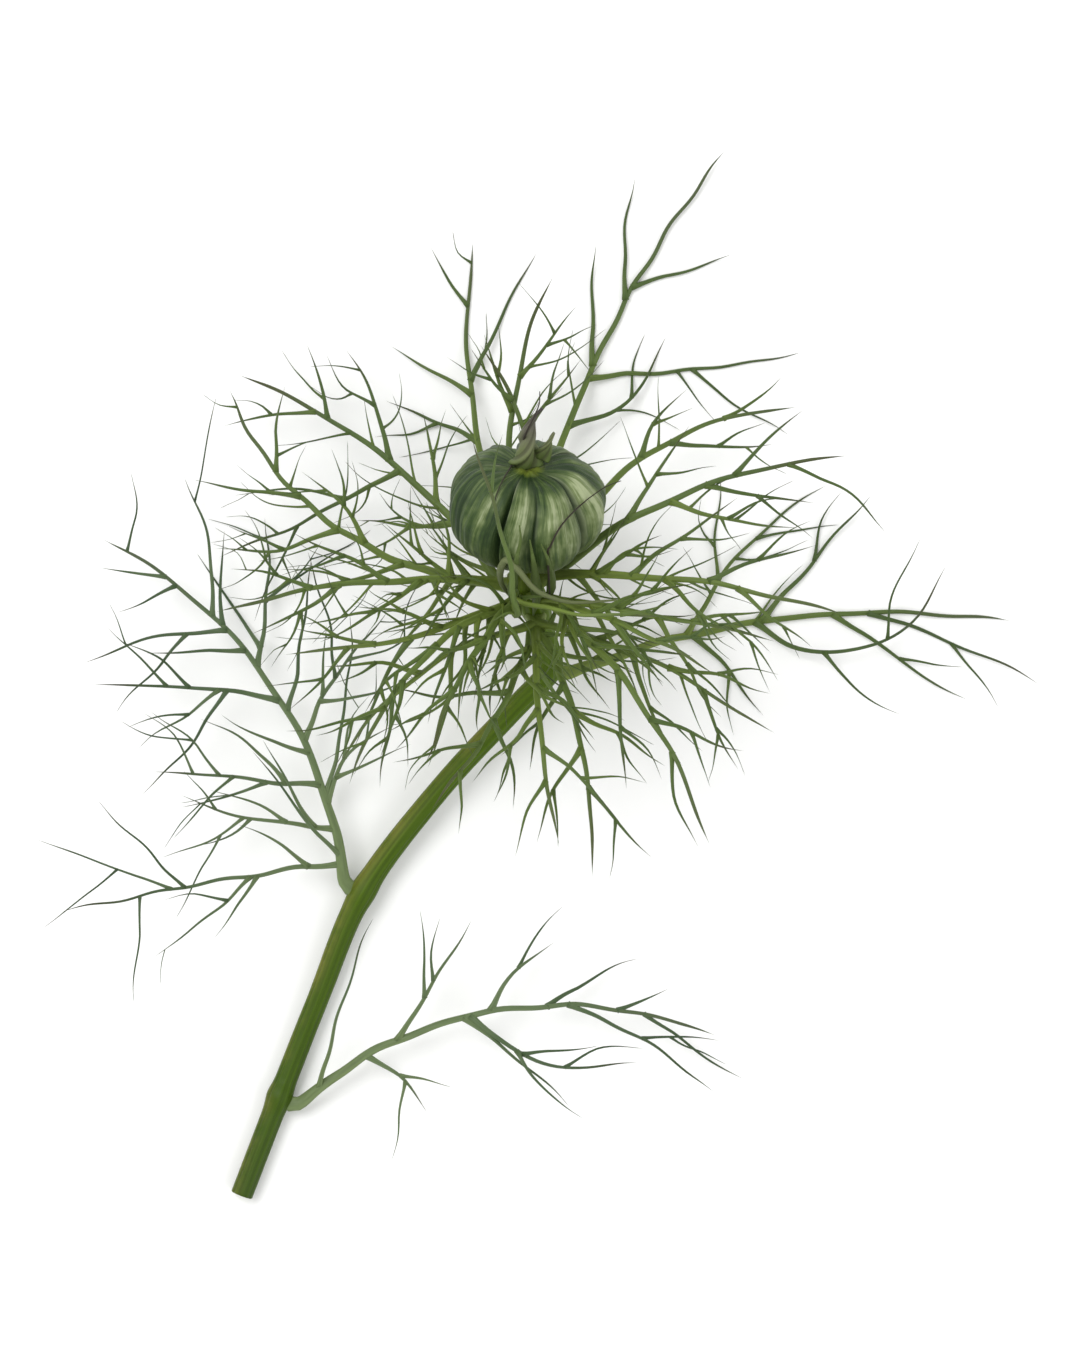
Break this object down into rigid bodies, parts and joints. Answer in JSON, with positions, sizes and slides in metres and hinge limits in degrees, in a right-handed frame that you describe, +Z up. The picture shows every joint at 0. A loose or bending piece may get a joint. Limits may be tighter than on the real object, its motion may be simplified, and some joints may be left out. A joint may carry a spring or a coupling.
{
  "type": "nigella seed pod",
  "caption": "Ribbed green globe in a ruff of forked thread-like bracts, on a curved cut stalk with divided leaves, lying down.",
  "frame": {"origin": "middle of the plant's outline seen from above, on the surface that it lies on", "axes": "+Z up from the surface, +Y from the cut end of the stalk towards the head"},
  "size_m": [0.0784, 0.083, 0.0275],
  "materials": {
    "pod": "satin",
    "stalk": "satin",
    "thread": "satin"
  },
  "bodies": {
    "root": {"pod": "pod", "stalk": "stalk", "bract_far": "thread", "bract_left": "thread", "bract_right": "thread", "bract_near_left": "thread", "bract_near_right": "thread", "bract_front": "thread", "bract_low_right": "thread", "leaf_left": "thread", "leaf_right": "thread"}
  },
  "joints": []
}
